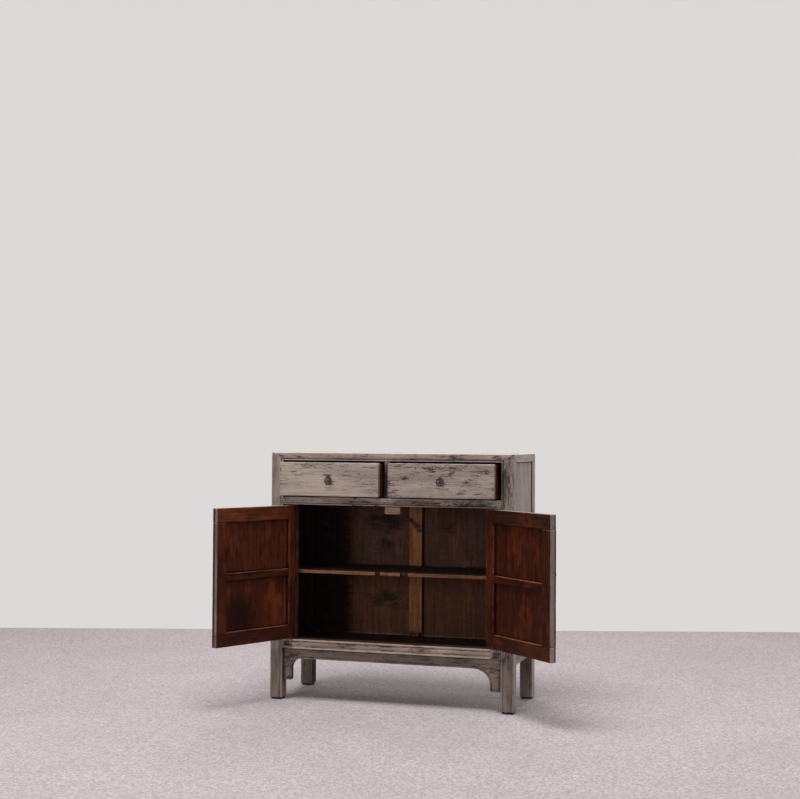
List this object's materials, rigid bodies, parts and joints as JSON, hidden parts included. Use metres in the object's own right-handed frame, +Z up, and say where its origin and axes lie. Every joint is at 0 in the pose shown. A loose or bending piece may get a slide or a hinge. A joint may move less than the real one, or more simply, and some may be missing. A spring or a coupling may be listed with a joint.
{
  "type": "sideboard",
  "caption": "Low Chinese-style wooden sideboard with drawers over a cupboard whose framed doors swing on wooden pivots, on square legs with a bracketed apron.",
  "frame": {"origin": "on the floor, at the middle of the four feet", "axes": "+X to the sideboard's right as seen from the front, +Y from the front to the back, +Z up"},
  "size_m": [1.1927, 0.676, 0.9],
  "materials": {
    "grey_paint": "worn grey paint over open-grained wood, matt",
    "red_lacquer": "dark red-brown lacquer, worn satin",
    "dark_wood": "dark aged wood, matt",
    "tan_wood": "oiled tan wood, matt",
    "pale_wood": "raw pale wood",
    "iron": "dark forged iron wire"
  },
  "bodies": {
    "carcass": {"back_batten": "tan_wood", "back_board_left": "dark_wood", "back_board_right": "dark_wood", "back_rail": "grey_paint", "door_jamb_left": "grey_paint", "door_jamb_right": "grey_paint", "door_stop": "pale_wood", "drawer_mullion": "grey_paint", "drawer_rail": "grey_paint", "drawer_runner_centre": "dark_wood", "drawer_runner_left": "dark_wood", "drawer_runner_right": "dark_wood", "floor_board": "dark_wood", "front_apron": "grey_paint", "post_back_left": "grey_paint", "post_back_right": "grey_paint", "post_front_left": "grey_paint", "post_front_right": "grey_paint", "shelf": "dark_wood", "side_panel_left": "grey_paint", "side_panel_right": "grey_paint", "side_rail_left": "grey_paint", "side_rail_right": "grey_paint", "sill_rail": "grey_paint", "top_back_rail": "grey_paint", "top_front_rail": "grey_paint", "top_left_rail": "grey_paint", "top_panel": "grey_paint", "top_right_rail": "grey_paint"},
    "left_door": {"left_door_batten": "red_lacquer", "left_door_bottom_rail": "red_lacquer", "left_door_cotter": "iron", "left_door_free_stile": "red_lacquer", "left_door_hinge_stile": "red_lacquer", "left_door_panel": "red_lacquer", "left_door_top_rail": "red_lacquer"},
    "left_door_ring": {"left_door_ring": "iron"},
    "left_drawer": {"left_drawer_back": "dark_wood", "left_drawer_bottom": "dark_wood", "left_drawer_cotter": "iron", "left_drawer_front": "grey_paint", "left_drawer_side_left": "red_lacquer", "left_drawer_side_right": "red_lacquer"},
    "left_drawer_ring": {"left_drawer_ring": "iron"},
    "right_door": {"right_door_batten": "red_lacquer", "right_door_bottom_rail": "red_lacquer", "right_door_cotter": "iron", "right_door_free_stile": "red_lacquer", "right_door_hinge_stile": "red_lacquer", "right_door_panel": "red_lacquer", "right_door_top_rail": "red_lacquer"},
    "right_door_ring": {"right_door_ring": "iron"},
    "right_drawer": {"right_drawer_back": "dark_wood", "right_drawer_bottom": "dark_wood", "right_drawer_cotter": "iron", "right_drawer_front": "grey_paint", "right_drawer_side_left": "red_lacquer", "right_drawer_side_right": "red_lacquer"},
    "right_drawer_ring": {"right_drawer_ring": "iron"}
  },
  "joints": [
    {"name": "left_drawer_slide", "type": "slide", "parent": "carcass", "child": "left_drawer", "axis": [0, -1, 0], "range_m": [-0.04, 0.18]},
    {"name": "left_drawer_ring_swing", "type": "hinge", "parent": "left_drawer", "child": "left_drawer_ring", "pos_m": [-0.21775, -0.221, 0.813], "axis": [-1, 0, 0], "range_deg": [-7, 95]},
    {"name": "right_drawer_slide", "type": "slide", "parent": "carcass", "child": "right_drawer", "axis": [0, -1, 0], "range_m": [-0.04, 0.18]},
    {"name": "right_drawer_ring_swing", "type": "hinge", "parent": "right_drawer", "child": "right_drawer_ring", "pos_m": [0.1996, -0.221, 0.813], "axis": [-1, 0, 0], "range_deg": [-7, 95]},
    {"name": "left_door_hinge", "type": "hinge", "parent": "carcass", "child": "left_door", "pos_m": [-0.3705, -0.163, 0.2255], "axis": [0, 0, -1], "range_deg": [-115.6, 27.4]},
    {"name": "left_door_ring_swing", "type": "hinge", "parent": "left_door", "child": "left_door_ring", "pos_m": [-0.53645, -0.46771, 0.52375], "axis": [0.4321, 0.9018, 0], "range_deg": [-7, 95]},
    {"name": "right_door_hinge", "type": "hinge", "parent": "carcass", "child": "right_door", "pos_m": [0.3705, -0.163, 0.2255], "axis": [0, 0, 1], "range_deg": [-137.1, 5.9]},
    {"name": "right_door_ring_swing", "type": "hinge", "parent": "right_door", "child": "right_door_ring", "pos_m": [0.63658, -0.38568, 0.52375], "axis": [0.7325, -0.6807, 0], "range_deg": [-7, 95]}
  ]
}
